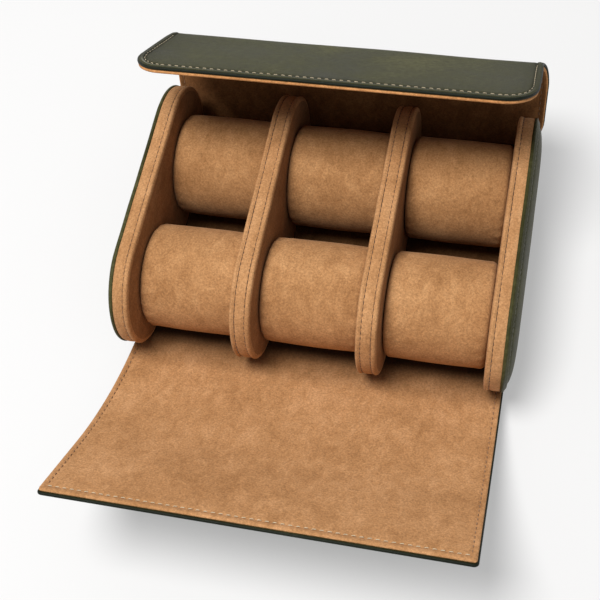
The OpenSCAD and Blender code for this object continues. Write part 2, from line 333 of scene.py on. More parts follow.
def make_piece(name, verts_mm, faces, materials, face_slots=None, sharp_deg=52):
    mesh = bpy.data.meshes.new(name)
    mesh.from_pydata((np.asarray(verts_mm) * MM).tolist(), [], faces)
    for material in materials:
        mesh.materials.append(material)
    if face_slots is not None:
        mesh.polygons.foreach_set("material_index", np.asarray(face_slots, np.int32))
    mesh.validate()
    mesh.shade_smooth()
    mesh.set_sharp_from_angle(angle=radians(sharp_deg))
    return add_object(name, mesh)


def dress(piece, slot, body, *nodes):
    """Puts a piece on its body and hides the CAD nodes that it stands for. slot is not used."""
    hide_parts(*nodes)
    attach(piece, body)


def wobble(points, size, amount, seed):
    """Smooth seeded unevenness at each point, in millimetres."""
    return np.array([amount * noise.noise(Vector((p[0] / size + seed, p[1] / size, p[2] / size - seed)))
                     for p in points])


def ridge(distance, height, width, at=0.0):
    """A rounded ridge where the distance is at. It is gone two widths away."""
    return height * np.exp(-((distance - at) / width) ** 2)


def ease(t):
    """0 up to t = 0, 1 from t = 1, and smooth between."""
    t = np.clip(t, 0, 1)
    return t * t * (3 - 2 * t)


def unit(v):
    return v / np.linalg.norm(v)


def run_along(line):
    """How far each point of a line lies from its start, along it."""
    return np.concatenate([[0], np.cumsum(np.linalg.norm(np.diff(line, axis=0), axis=1))])


def part_way(s, runs, pairs):
    """The pairs that belong to runs, at run s."""
    return np.stack([np.interp(s, runs, pairs[:, 0]), np.interp(s, runs, pairs[:, 1])], -1)


def grid_faces(rows, columns, offset=0, wrap=False, flip=False, close=False):
    """Quads between rows of vertices. wrap joins a row's ends, and close the last row to the first."""
    faces = []
    for i in range(rows if close else rows - 1):
        here, there = offset + i * columns, offset + (i + 1) % rows * columns
        for j in range(columns if wrap else columns - 1):
            k = (j + 1) % columns
            quad = (here + j, here + k, there + k, there + j)
            faces.append((quad[0], *quad[:0:-1]) if flip else quad)
    return faces


def ring_caps(rings, columns, offset=0, turned=False):
    """A tube's two end faces, turned if its quads aren't flipped."""
    first = tuple(range(offset, offset + columns))
    last = tuple(range(offset + (rings - 1) * columns, offset + rings * columns))
    return [first[::-1], last] if turned else [first, last[::-1]]


# ---- the wrap's line in the YZ plane

JOINTS = {j["name"]: j for j in frame["joints"]}
LINKS = {"front": 6, "top": 4}
OUTWARD = {"front": np.array((-1.0, 1.0)), "top": np.array((1.0, 1.0))}     # makes y positive outwards
ROOT_STRAIGHT = 0.4     # what stays straight before a flap's first bend
BEND_REACH = 8.0        # the most that a bend reaches away from its fold
BEND_POINTS = 14
ARC_POINTS = 24
FLAT_POINTS = 30
RUN_SAMPLES = 8000


def folds(side):
    """The folds from the body outwards, as (y, z), with y positive on both sides."""
    at = [JOINTS[f"{side}_fold_{i}"]["pos_m"] for i in range(1, LINKS[side] + 1)]
    return [np.array(p[1:]) * OUTWARD[side] / MM for p in at]


def flap_tip(side, last_fold):
    """The free edge of the lining's face, from a corner of the last link's box."""
    low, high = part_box(f"{side}_flap_lining_{LINKS[side]}")
    ys = sorted(OUTWARD[side][0] * corner.y / MM for corner in (low, high))
    tip = np.array((ys[1] if side == "front" else ys[0], high.z / MM))
    direction = unit(tip - last_fold)
    if side == "front":
        return tip - (LINING_T * direction[1], 0)
    return tip - (0, LINING_T * abs(direction[0]))


def bezier(a, b, c):
    t = np.linspace(0, 1, BEND_POINTS)[:, None]
    return (1 - t) ** 2 * a + 2 * t * (1 - t) * b + t ** 2 * c


def leave_angle(fold):
    """Angle round the body's end at which the straight run to the first fold starts."""
    y, z = fold[0] - HALF_RUN, MID_Z - fold[1]
    return atan2(y, z) - acos(END_R / hypot(y, z))


def end_arc(angles):
    """Points of the lining's face round the body's end, by their angles from straight down."""
    return np.stack([HALF_RUN + END_R * np.sin(angles), MID_Z - END_R * np.cos(angles)], -1)


def flap_line(side):
    """A flap's lining face from the body outwards: its points, corners, bends' ends and cuts."""
    points = folds(side)
    start = end_arc(leave_angle(points[0]))
    corners = [start, *points, flap_tip(side, points[-1])]
    lengths = [np.linalg.norm(b - a) for a, b in zip(corners, corners[1:])]
    line, bends = [start], []
    for k in range(1, len(points) + 1):
        before = lengths[0] - ROOT_STRAIGHT if k == 1 else lengths[k - 1] / 2
        reach = min(before, lengths[k] / 2, BEND_REACH)
        fold = corners[k]
        a = fold - reach * unit(fold - corners[k - 1])
        b = fold + reach * unit(corners[k + 1] - fold)
        line.extend(bezier(a, fold, b))
        bends.append((a, b))
    line.append(corners[-1])
    cuts = [start] + [(a + b) / 2 for a, b in zip(points, points[1:])]
    return np.array(line), corners, bends, cuts


FLAPS = {side: flap_line(side) for side in LINKS}


def root_arc(side):
    """The wrap's run round the body's end, up to where the flap leaves it."""
    return end_arc(np.linspace(0, leave_angle(FLAPS[side][1][1]), ARC_POINTS))


def whole_line():
    """The points of the lining's whole face in the YZ plane, and their runs."""
    front = (FLAPS["front"][0] * OUTWARD["front"])[::-1]
    front_arc = (root_arc("front") * OUTWARD["front"])[::-1]
    flat = np.array([(y, WRAP_T) for y in np.linspace(-HALF_RUN, HALF_RUN, FLAT_POINTS)])
    line = np.concatenate([front, front_arc, flat, root_arc("top"), FLAPS["top"][0]])
    moved = np.linalg.norm(np.diff(line, axis=0), axis=1) > 1e-6
    line = line[np.concatenate([[True], moved])]
    return line, run_along(line)


LINE, RUN = whole_line()
TOTAL = RUN[-1]
SLOPE = np.gradient(LINE, RUN, axis=0)


def on_line(s):
    """Point and outward normal of the lining's face at run s, both as (y, z)."""
    slope = part_way(s, RUN, SLOPE)
    slope /= np.linalg.norm(slope, axis=-1, keepdims=True)
    return part_way(s, RUN, LINE), np.stack([slope[..., 1], -slope[..., 0]], -1)


def run_at(point):
    """The run of the line's nearest place to a point."""
    runs = np.linspace(0, TOTAL, RUN_SAMPLES)
    places = on_line(runs)[0]
    return float(runs[np.argmin(np.linalg.norm(places - point, axis=1))])


def space(x, s, depth):
    """Points of the wrap, depth under the lining's face, from x across it and run s along it."""
    point, out = on_line(s)
    at = point + np.asarray(depth)[..., None] * out
    return np.stack([np.asarray(x, float), at[..., 0], at[..., 1]], -1)


# ---- the wrap's outline

BEND_FOLD = 4           # the top flap's last fold, where it turns over the case
FOOT_BEFORE = 9.0       # its wall starts to spread so far before the first fold
FOOT_RUN = 16.0         # and takes so long to its full width,
HEAD_AFTER = 7.0        # it ends so far beyond the bend over the case
HEAD_RUN = 26.0         # and has taken so long for it
PINCH_AFTER = 2.0       # the sides are drawn in most so far beyond the bend
PINCH_RUN = 6.0         # and about so far round there
TIP_RUN = 50.0          # the tip narrows over the last run of this length

BEND_AT = run_at(FLAPS["top"][1][BEND_FOLD])
WALL_FOOT = run_at(FLAPS["top"][1][1]) - FOOT_BEFORE
WALL_HEAD = BEND_AT + HEAD_AFTER


def flare(s):
    """How much wider the wrap is at run s, on each side."""
    s = np.asarray(s, float)
    spread = WRAP_FLARE * ease((s - WALL_FOOT) / FOOT_RUN) * ease((WALL_HEAD - s) / HEAD_RUN)
    tip = np.clip((s - TOTAL + TIP_RUN) / TIP_RUN, 0, 1)
    return spread - TIP_NARROW * tip ** 2 - ridge(s, BEND_PINCH, PINCH_RUN, at=BEND_AT + PINCH_AFTER)


def rounding(left, across, along):
    """How far a rounded corner draws the side in, left away from the end."""
    v = np.clip(along - left, 0, along) / along
    return across * (1 - np.sqrt(1 - v ** 2))


def half_width(s):
    """Half the wrap's width at run s: less round the corners."""
    s = np.asarray(s, float)
    drawn_in = rounding(TOTAL - s, TOP_ACROSS, TOP_ALONG) + rounding(s, FRONT_CORNER_R, FRONT_CORNER_R)
    return WRAP_W / 2 + flare(s) - drawn_in


def from_corner(side, end, across, along, inset_side=0.0, inset_end=0.0):
    """Distance inwards from a corner's ellipse, and whether the place is within its box."""
    u, v = across - side, along - end
    rho = np.hypot(u / (across - inset_side), v / (along - inset_end))
    return np.hypot(u, v) * (1 / np.maximum(rho, 1e-6) - 1), (u > 0) & (v > 0)


def edge_distance(x, s):
    """Distance inwards from the wrap's edge."""
    side = WRAP_W / 2 + flare(s) - np.abs(x)
    nearest = np.minimum(np.minimum(side, TOTAL - s), s)
    for end, across, along in ((TOTAL - s, TOP_ACROSS, TOP_ALONG), (s, FRONT_CORNER_R, FRONT_CORNER_R)):
        corner, inside = from_corner(side, end, across, along)
        nearest = np.where(inside, corner, nearest)
    return nearest


def stitch_distance(x, s):
    """Distance from the wrap's stitch line, to either side."""
    side = WRAP_W / 2 + flare(s) - np.abs(x)
    past_side, past_front = side - STITCH_IN, s - STITCH_IN_FRONT
    near_side = np.where(past_front >= 0, np.abs(past_side), np.hypot(past_side, past_front))
    near_front = np.where(past_side >= 0, np.abs(past_front), np.hypot(past_side, past_front))
    corner, inside = from_corner(side, TOTAL - s, TOP_ACROSS, TOP_ALONG, STITCH_IN, STITCH_IN_TOP)
    beyond = TOTAL - s < TOP_ALONG
    near_top = np.where(beyond, np.abs(TOTAL - s - STITCH_IN_TOP), np.abs(past_side))
    near_top = np.where(inside, np.abs(corner), near_top)
    return np.where(TOTAL - s < 2 * TOP_ALONG, near_top, np.minimum(near_side, near_front))


# ---- the wrap's two sheets

# how far in from a sheet's outer edge its rows and columns lie, and further rows at the top corners
EDGE_STEPS = [0.0, 0.12, 0.32, 0.6, 0.95, 1.35, 1.8, 2.3, 2.8, 3.2, 3.6, 4.0, 4.5, 5.2, 6.4, 8.2]
CORNER_STEPS = [9.5 + 1.5 * i for i in range(10)]
ROW_STEP = 1.5
ROW_GAP = 0.2           # the least between the plain rows and those steps
SHEET_COLUMNS = 52
ROUND_SHARE = 0.42      # rounding of a sheet's edges, as a share of its thickness
CUT_BAND = 0.9          # how far in from the edge a sheet shows its second material
LEATHER_UNEVEN = 0.28   # the leather lies up to twice this under its plain face
LINING_SINK = 0.40      # the lining's unevenness lies this far under its plain face
HIGHLIGHT_RUN = 90.0        # the painted highlight along the welt shows over the last run of this length
HIGHLIGHT_CLEAR = 0.9       # and stays so far off the stitches
PLAIN_SHEEN_AND_SHADE = 0.05       # the attribute's value on plain leather, a slight even lightening


def run_rows(s0, s1):
    """The runs of a sheet's rows, close together at a free edge."""
    rows = set(np.linspace(s0, s1, max(2, int(ceil((s1 - s0) / ROW_STEP)) + 1)))
    if s0 <= 0:
        rows = {r for r in rows if r > EDGE_STEPS[-1] + ROW_GAP} | set(EDGE_STEPS)
    if s1 >= TOTAL:
        rows = {r for r in rows if r < TOTAL - TOP_ALONG - ROW_GAP}
        rows |= {TOTAL - d for d in EDGE_STEPS + CORNER_STEPS}
    return np.array(sorted(rows))


def columns_at(s, inset):
    """Where a sheet's columns cross the row at run s."""
    half = half_width(s) - inset
    inner = half - EDGE_STEPS[-1]
    middle = np.linspace(-1, 1, SHEET_COLUMNS)[1:-1] * inner
    edge = half - np.array(EDGE_STEPS)
    return np.concatenate([-edge, middle, edge[::-1]])


def sheet_grid(s0, s1, inset):
    """The places (x, s) of a sheet's vertices, and their distance from its outer edge."""
    rows = np.clip(run_rows(s0, s1), inset if s0 <= 0 else 0, TOTAL - inset if s1 >= TOTAL else TOTAL)
    x = np.array([columns_at(s, inset) for s in rows])
    s = np.repeat(rows[:, None], x.shape[1], 1)
    return x, s, np.clip(edge_distance(x, s) - inset, 0, None)


def leather_sheen_and_shade(x, s, edge):
    """Painted light on the leather: a painted highlight along the welt, painted shade in the stitch
    channel, and darker towards the borders.
    """
    to_stitch = stitch_distance(x, s)
    # a painted highlight along the welt, and painted shade in the stitch channel
    painted_highlight = ridge(edge, height=2.8, width=0.7, at=2.9) * ease(to_stitch - HIGHLIGHT_CLEAR)
    channel = ridge(to_stitch, height=0.8, width=0.8)
    border = 0.55 * np.exp(-edge / 6.0)
    return painted_highlight * (TOTAL - s < HIGHLIGHT_RUN) - channel - border + PLAIN_SHEEN_AND_SHADE


def mark_sheen_and_shade(piece, sheen_and_shade):
    """Stores the painted highlight and shade of every vertex, the same on the sheet's two faces."""
    layer = piece.data.attributes.new(SHEEN_AND_SHADE, "FLOAT", "POINT")
    layer.data.foreach_set("value", np.tile(sheen_and_shade.ravel(), 2).astype(np.float32))


def unevenness(x, s, size, amount, seed):
    """Wobble over the sheet as it lies flat."""
    flat = np.stack([x, s, 0 * x], -1).reshape(-1, 3)
    return wobble(flat, size, amount, seed).reshape(x.shape)


def leather_relief(x, s, edge):
    """The leather's welt, stitch channel and unevenness, low enough for the flaps to shut."""
    welt = ridge(edge, height=0.32, width=1.0, at=2.3)
    channel = ridge(stitch_distance(x, s), height=0.34, width=0.6)
    uneven = unevenness(x, s, size=46, amount=LEATHER_UNEVEN, seed=3.1) - LEATHER_UNEVEN
    shape = welt - channel + uneven * np.clip(edge / 6, 0, 1)
    on_ground = on_line(s)[0][..., 1] < WRAP_T + 0.5
    return np.zeros_like(x), np.where(on_ground, np.minimum(shape, 0), shape)


def lining_relief(x, s, edge):
    """The lining's stitch channel, a slight welt outside it and two sizes of unevenness."""
    welt = ridge(edge, height=0.12, width=0.9, at=1.9)
    channel = ridge(stitch_distance(x, s), height=0.42, width=0.75)
    waves = unevenness(x, s, size=34, amount=0.36, seed=7.7)
    ripples = unevenness(x, s, size=11, amount=0.08, seed=1.3)
    uneven = (waves + ripples - LINING_SINK) * np.clip(edge / 5, 0, 1)
    return welt - channel + uneven, np.zeros_like(x)


def sheet(name, s0, s1, near, far, inset, relief, materials, sheen_and_shade=None):
    """A closed sheet between depths near and far, over runs s0 to s1. relief gives how far its faces stand
    out. Its outer edges are rounded, the cuts to its neighbours square, and both of the second material."""
    x, s, edge = sheet_grid(s0, s1, inset)
    radius = ROUND_SHARE * (far - near)
    drop = radius - np.sqrt(np.maximum(radius ** 2 - (radius - np.minimum(edge, radius)) ** 2, 0))
    lift_near, lift_far = relief(x, s, edge)
    top = space(x, s, near + drop - lift_near).reshape(-1, 3)
    bottom = space(x, s, far - drop + lift_far).reshape(-1, 3)
    faces = grid_faces(*x.shape) + grid_faces(*x.shape, x.size, flip=True)
    cut = (edge < CUT_BAND).ravel()
    slots = [int(all(cut[v % x.size] for v in face)) for face in faces]
    grid = np.arange(x.size).reshape(x.shape)
    rim = np.concatenate([grid[0], grid[1:, -1], grid[-1, -2::-1], grid[-2:0:-1, 0]]).tolist()
    faces += [(b, a, a + x.size, b + x.size) for a, b in zip(rim, rim[1:] + rim[:1])]
    slots += [1] * len(rim)
    piece = make_piece(name, np.concatenate([top, bottom]), faces, materials, slots)
    # the leather gets its painted highlight and shade as a vertex attribute
    if sheen_and_shade:
        mark_sheen_and_shade(piece, sheen_and_shade(x, s, edge))
    return piece


def wrap_spans():
    """Each stretch of the wrap: its name, run limits, one or two bodies, and its bend's ends."""
    spans, roots = [], []
    for side, (_, _, bends, middles) in FLAPS.items():
        cuts = [run_at(middle * OUTWARD[side]) for middle in middles]
        roots.append(cuts[0])
        cuts.append(0.0 if side == "front" else TOTAL)
        for k, bend in enumerate(bends, 1):
            inner = "body" if k == 1 else f"{side}_link_{k - 1}"
            low, high = sorted((cuts[k - 1], cuts[k]))
            ends = [end * OUTWARD[side] for end in bend]
            spans.append((f"{side}_{k}", low, high, (inner, f"{side}_link_{k}"), ends))
    spans.append(("back", *roots, ("body",), None))
    return spans


SPANS = wrap_spans()


def join_body(piece, bodies, bend):
    """Puts a piece on its body, or, where it has a bend, only bakes its transform into its mesh."""
    if bend is None:
        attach(piece, bodies[0])
        return
    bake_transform(piece)


def cad_names(label, what):
    """The CAD nodes that a stretch stands for, with the boards and magnets that it hides."""
    if label == "back":
        return [f"back_{what}"] + (["back_board"] if what == "leather" else [])
    side, k = label.split("_")
    names = [f"{side}_flap_{what}_{k}"]
    if what == "leather" and int(k) == LINKS[side]:
        names += [f"{side}_flap_board", f"{side}_flap_magnets"]
    return names


def lining_stuff(label):
    """A lining's inset from the leather, and its face and edge materials."""
    if label.startswith("top"):
        # the top flap's lining is a darker copy of the suede, painted shade, with a plain cut edge
        return LINING_INSET_TOP, [SUEDE_SHADED_WALL, SUEDE_EDGE]
    # the back's lining is a nearly black copy of the suede, painted shade
    return LINING_INSET, [SUEDE_SHADED_FLOOR if label == "back" else SUEDE] * 2


def build_wrap():
    for label, s0, s1, bodies, bend in SPANS:
        inset, naps = lining_stuff(label)
        skin = sheet(f"wrap_leather_{label}", s0, s1, LINING_T, WRAP_T, 0.0, leather_relief,
                     [LEATHER, LEATHER_EDGE], sheen_and_shade=leather_sheen_and_shade)
        lining = sheet(f"wrap_lining_{label}", s0, s1, 0.0, LINING_T, inset, lining_relief, naps)
        for piece, what, slot in ((skin, "leather", "leather"), (lining, "lining", "suede")):
            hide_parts(*cad_names(label, what))
            join_body(piece, bodies, bend)


# ---- stitching

STITCH_RINGS = 6
STITCH_SIDES = 6
SIDE_START = 1.5        # the side stitches start so far beyond the front edge's
ARCH_SHARE = 0.62       # how far a stitch rises and its ends dip, as shares of the thread's radius
DIP_SHARE = 0.75
OUT_SINK = 0.34         # how deep the stitches lie in the leather,
IN_SINK_SIDE = 0.36     # in the lining's sides
IN_SINK_FREE = 0.22     # and at its free edges
SLANT_DEG = 5.0         # the stitches' slant, and how much it varies from one to the next
SLANT_SPREAD = 2.5
SLANT_STEP = 1.7


def straight_stitches(x0, s0, x1, s1, kind):
    """Stitches between two places, those of the sides moved out by the flare's size."""
    length = hypot(x1 - x0, s1 - s0)
    count = int(length / STITCH_PITCH)
    places = []
    for i in range(count):
        t = (i + 0.5) / count
        x, s = x0 + t * (x1 - x0), s0 + t * (s1 - s0)
        if kind == "side":
            x += copysign(float(flare(s)), x)
        places.append((x, s, (x1 - x0) / length, (s1 - s0) / length, kind))
    return places


def corner_stitches(sign):
    """Stitches round one of the top flap's corners."""
    reach_x, reach_s = TOP_ACROSS - STITCH_IN, TOP_ALONG - STITCH_IN_TOP
    count = int((reach_x + reach_s) / 2 * pi / 2 / STITCH_PITCH)
    places = []
    for i in range(count):
        a = pi / 2 * (i + 0.5) / count
        s = TOTAL - TOP_ALONG + reach_s * sin(a)
        x = sign * (WRAP_W / 2 - TOP_ACROSS + reach_x * cos(a) + float(flare(s)))
        dx, ds = -sign * reach_x * sin(a), reach_s * cos(a)
        length = hypot(dx, ds)
        places.append((x, s, dx / length, ds / length, "top"))
    return places


def stitch_places():
    """Middle (x, s), direction and kind of every stitch of the wrap."""
    side_x, across_x = WRAP_W / 2 - STITCH_IN, WRAP_W / 2 - TOP_ACROSS
    places = straight_stitches(-side_x, STITCH_IN_FRONT, side_x, STITCH_IN_FRONT, "front")
    for x in (-side_x, side_x):
        places += straight_stitches(x, STITCH_IN_FRONT + SIDE_START, x, TOTAL - TOP_ALONG, "side")
        places += corner_stitches(copysign(1, x))
    top_s = TOTAL - STITCH_IN_TOP
    return places + straight_stitches(-across_x, top_s, across_x, top_s, "top")


STITCHES = stitch_places()


def one_stitch(x, s, dx, ds, depth, out_sign, slant, offset):
    """A short arched run of thread whose two ends dip into the sheet."""
    dx, ds = dx * cos(slant) - ds * sin(slant), dx * sin(slant) + ds * cos(slant)
    t = np.linspace(-1, 1, STITCH_RINGS)
    lift = ARCH_SHARE * THREAD_R * (1 - t ** 4) - DIP_SHARE * THREAD_R * t ** 8
    radius = THREAD_R * np.sqrt(np.clip(1.03 - t ** 6, 0.05, 1))
    verts = []
    for ti, li, ri in zip(t, lift, radius):
        for k in range(STITCH_SIDES):
            a = 2 * pi * k / STITCH_SIDES
            across, up = ri * cos(a), ri * sin(a)
            px = x + ti * STITCH_LEN / 2 * dx - across * ds
            ps = s + ti * STITCH_LEN / 2 * ds + across * dx
            verts.append((px, ps, depth + out_sign * (li + up)))
    faces = grid_faces(STITCH_RINGS, STITCH_SIDES, offset, wrap=True, flip=out_sign < 0)
    return verts, faces + ring_caps(STITCH_RINGS, STITCH_SIDES, offset, turned=out_sign > 0)


def stitch_piece(name, places, face, material):
    """The stitches at places, on the leather ("out") or the lining ("in")."""
    out_sign = 1 if face == "out" else -1
    verts, faces = [], []
    for i, (x, s, dx, ds, kind) in enumerate(places):
        slant = radians(SLANT_DEG + SLANT_SPREAD * sin(SLANT_STEP * i))
        depth = WRAP_T - OUT_SINK if face == "out" else IN_SINK_SIDE if kind == "side" else IN_SINK_FREE
        more, quads = one_stitch(x, s, dx, ds, depth, out_sign, slant, len(verts))
        verts += more
        faces += quads
    flat = np.array(verts)
    return make_piece(name, space(flat[:, 0], flat[:, 1], flat[:, 2]), faces, [material], sharp_deg=80)


def build_stitches():
    for label, s0, s1, bodies, bend in SPANS:
        for face in ("out", "in"):
            for kind in ("side", "free"):
                chosen = [p for p in STITCHES if s0 <= p[1] < s1 and (p[4] == "side") == (kind == "side")]
                if not chosen:
                    continue
                dark = face == "in" and kind == "side"
                material = THREAD_TAN if dark else THREAD if face == "out" else THREAD_INNER
                piece = stitch_piece(f"stitches_{face}_{kind}_{label}", chosen, face, material)
                join_body(piece, bodies, bend)


# ---- panels and dividers

ARC_STEPS = 44
RUN_STEPS = 22
DEEPEST = 32.6          # inset of the innermost ring, near the outline's middle line
LEAST_R = 0.02
STRIP_DEPTH = 0.1       # how far the gusset strips lie under the outline
STRIP_ROOT = 3.0        # how deep they are turned in,
STRIP_TURN = 1.1        # from this depth at their seams
GUSSET_STEPS = 12
GUSSET_GAP = 0.1        # between a strip's face and its seam
GUSSET_SINK = 0.42      # how deep a strip's face lies at its seams, under STRIP_DEPTH,
GUSSET_CROWN = 0.38     # and how much higher it is in its middle
SEAM_SINK = 0.62        # how deep the seams' stitches lie under the outline
SEAM_SHIFT = 0.05       # and how far on the strip's side of the seam
LIP_DEPTH = 2.0         # how far down the rolled lips still have the strips' suede
LIP_ARC = np.radians(np.linspace(140, 20, 8))
FACE_INSETS = [4.0, 7.0, 11.0, 15.0, 19.0, 23.0, 27.0, 30.5, DEEPEST]

# insets of the padded leather's rings
SKIN_MIDDLE = [DEEPEST, 31, 29, 26.5, 24, 21.5, 19, 16.5, 14, 12, 10.5, 9, 8, 7.2, 6.6, 6.1]
SKIN_BORDER = [5.7, 5.4, 5.2, 5.0, 4.7, 4.3, 3.9, 3.4, 2.9, 2.4, 1.9, 1.4, 1.0]
TURNED_EDGE = [(0.10, 0.62), (0.34, 0.28), (0.72, 0.06)]    # (x, inset) from its last ring on
BACK_EDGE = [(0.75, 0.0), (1.15, 0.06), (1.45, 0.3), (LEATHER_T, 1.6), (LEATHER_T, DEEPEST)]


def outline(inset):
    """The panels' outline drawn in by inset, as (y, z), counter-clockwise seen from +X."""
    r = max(PANEL_R - inset, LEAST_R)
    a = np.linspace(-pi / 2, pi / 2, ARC_STEPS + 1)
    right = np.stack([HALF_RUN + r * np.cos(a), r * np.sin(a)], 1)
    run = np.linspace(HALF_RUN, -HALF_RUN, RUN_STEPS)[1:-1]
    top = np.stack([run, np.full_like(run, r)], 1)
    return np.concatenate([right, top, -right, -top]) + (0, MID_Z)


def roughen(verts, sign, amount, seed):
    """Moves a sweep's vertices along X, and half as far away from the outline's middle line."""
    shift = wobble(verts, 19, amount, seed) + wobble(verts, 6, 0.35 * amount, seed + 5)
    centre = np.array((np.clip(verts[:, 1], -HALF_RUN, HALF_RUN), np.full(len(verts), MID_Z))).T
    away = verts[:, 1:] - centre
    away /= np.maximum(np.linalg.norm(away, axis=1, keepdims=True), 1e-6)
    verts[:, 0] += sign * shift
    verts[:, 1:] += 0.5 * away * shift[:, None]


def sweep(name, profile, sign, x0, materials, uneven, seed, close=False, deep_from=None):
    """Runs a profile of (x, inset) points round the outline. x counts from x0, to the right when sign is 1
    and to the left when it is -1. close joins the profile's ends, which otherwise get two end faces.
    The second material starts at inset deep_from and is on the end faces too."""
    rings = []
    for px, inset in profile:
        ring = outline(inset)
        rings.append(np.column_stack([np.full(len(ring), x0 + sign * px), ring]))
    columns = len(rings[0])
    verts = np.concatenate(rings)
    roughen(verts, sign, uneven, seed)
    faces = grid_faces(len(rings), columns, wrap=True, flip=sign < 0, close=close)
    if not close:
        faces += ring_caps(len(rings), columns, turned=sign > 0)
    slots = None
    if deep_from is not None:
        deep = [min(a[1], b[1]) >= deep_from for a, b in zip(profile, profile[1:])]
        slots = np.repeat(np.array(deep, int), columns).tolist() + [1, 1]
    return make_piece(name, verts, faces, materials, slots)


def panel_face(d):
    """Where an end panel's leather face lies at inset d: minus is outwards."""
    puff = PUFF * (1 - exp(-(d / 7.5) ** 1.2))
    border = ridge(d, height=0.30, width=1.3, at=2.4)
    channel = ridge(d, height=0.32, width=0.8, at=PANEL_STITCH_IN)
    return -(puff + border - channel)


def leather_profile():
    """The puffed leather face from its middle to its border, and its turned edge."""
    points = [(panel_face(d), d) for d in SKIN_MIDDLE + SKIN_BORDER]
    edge_x = points[-1][0]
    return points + [(edge_x + x, d) for x, d in TURNED_EDGE] + BACK_EDGE


def turned_in(x):
    """Where a gusset strip is turned in along its seam at x."""
    return [(x, STRIP_TURN), (x, STRIP_ROOT)]


def gusset_points(x_from, x_seam):
    """The flat strip of a gusset, slightly crowned, up to its seam."""
    points = []
    for t in np.linspace(0, 1, GUSSET_STEPS):
        crown = GUSSET_CROWN * sin(pi * t) ** 0.7 if 0 < t < 1 else 0.0
        points.append((x_from + t * (x_seam - x_from - GUSSET_GAP), STRIP_DEPTH + GUSSET_SINK - crown))
    return points


def face_profile(x_seam, x_face):
    """A suede face with its rolled lip, from the seam at x_seam to the flat at x_face."""
    half = (x_face - x_seam) * 0.5
    middle_x, middle_d, r = x_seam + 0.3 + half * 0.72, STRIP_DEPTH + 0.72 * half, half * 0.86
    points = [(x_seam, DEEPEST), (x_seam, STRIP_ROOT)]
    points += [(x_seam, STRIP_DEPTH + 0.75), (x_seam + 0.14, STRIP_DEPTH + 0.2)]
    points += [(middle_x + r * cos(a), middle_d - r * sin(a)) for a in LIP_ARC]
    points += [(x_face - 0.12, STRIP_DEPTH + 1.35), (x_face, STRIP_DEPTH + 2.1)]
    return points + [(x_face, d) for d in FACE_INSETS]


SEAM_RINGS = (-1.0, -0.6, 0.0, 0.6, 1.0)    # along a seam's stitch, from end to end
SEAM_SIDES = 5
SEAM_ARCH = 0.22        # how far its middle rises
SEAM_TIP = 0.45         # its end rings, as a share of the thread's radius
LOOK_AHEAD = 0.3


def seam_ring(x, loop, run, at, t):
    """One ring of thread at a run round an outline. t goes from -1 to 1 along its stitch."""
    y, z = part_way(at, run, loop)
    ahead = part_way(at + LOOK_AHEAD, run, loop) - (y, z)
    out = unit(np.array((ahead[1], -ahead[0])))
    radius = SEAM_R * (SEAM_TIP if abs(t) == 1 else 1.0)
    ring = []
    for k in range(SEAM_SIDES):
        a = 2 * pi * k / SEAM_SIDES
        up = SEAM_ARCH * (1 - t * t) + radius * sin(a)
        ring.append((x + radius * cos(a), y + out[0] * up, z + out[1] * up))
    return ring


def seam_stitches(name, x, drop, material):
    """Stitches at x round the whole outline, drawn in by drop."""
    loop = outline(drop)
    loop = np.concatenate([loop, loop[:1]])
    run = run_along(loop)
    verts, faces = [], []
    for i in range(int(run[-1] / SEAM_PITCH)):
        offset = len(verts)
        for t in SEAM_RINGS:
            verts += seam_ring(x, loop, run, (i + 0.5) * SEAM_PITCH + t * SEAM_STITCH / 2, t)
        faces += grid_faces(len(SEAM_RINGS), SEAM_SIDES, offset, wrap=True, flip=True)
        faces += ring_caps(len(SEAM_RINGS), SEAM_SIDES, offset)
    piece = make_piece(name, np.array(verts), faces, [material], sharp_deg=80)
    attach(piece, "body")


def gusset_strip(name, profile, sign, x0, seed):
    band = sweep(f"{name}_strip", profile, sign, x0, [SUEDE_STRIP], uneven=0.10, seed=seed, close=True)
    dress(band, "suede_gusset", "body", f"{name}_gusset")


def suede_face(name, seam_name, nodes, x_seam, x_face, sign, x0, seed):
    """A suede face with its rolled lip, and the stitches of its seam. Below the lip it is a darker copy of
    the suede: painted shade.
    """
    face = sweep(name, face_profile(x_seam, x_face), sign, x0, [SUEDE_STRIP, SUEDE_SHADED_INSIDE],
                 uneven=0.14, seed=seed, deep_from=LIP_DEPTH)
    dress(face, "suede", "body", *nodes)
    seam_stitches(seam_name, x0 + sign * (x_seam - SEAM_SHIFT), SEAM_SINK, THREAD_DARK)


def build_panel(side, sign):
    name = f"{side}_panel"
    x0 = -sign * BODY_W / 2
    seam = PANEL_T - LIP_W
    skin = sweep(f"{name}_skin", leather_profile(), sign, x0, [LEATHER], uneven=0.16, seed=11.0 * sign)
    dress(skin, "leather", "body", f"{name}_leather")
    strip = [(LEATHER_T, STRIP_ROOT)] + gusset_points(LEATHER_T, seam) + turned_in(seam)
    gusset_strip(name, strip, sign, x0, seed=4.0 * sign)
    nodes = [f"{name}_lining", f"{name}_core"]
    suede_face(f"{name}_inside", f"{name}_seam", nodes, seam, PANEL_T, sign, x0, seed=9.0 * sign)
    on_face = x0 + sign * (panel_face(PANEL_STITCH_IN) + 0.02)
    seam_stitches(f"{name}_stitches", on_face, PANEL_STITCH_IN, THREAD_GREEN)


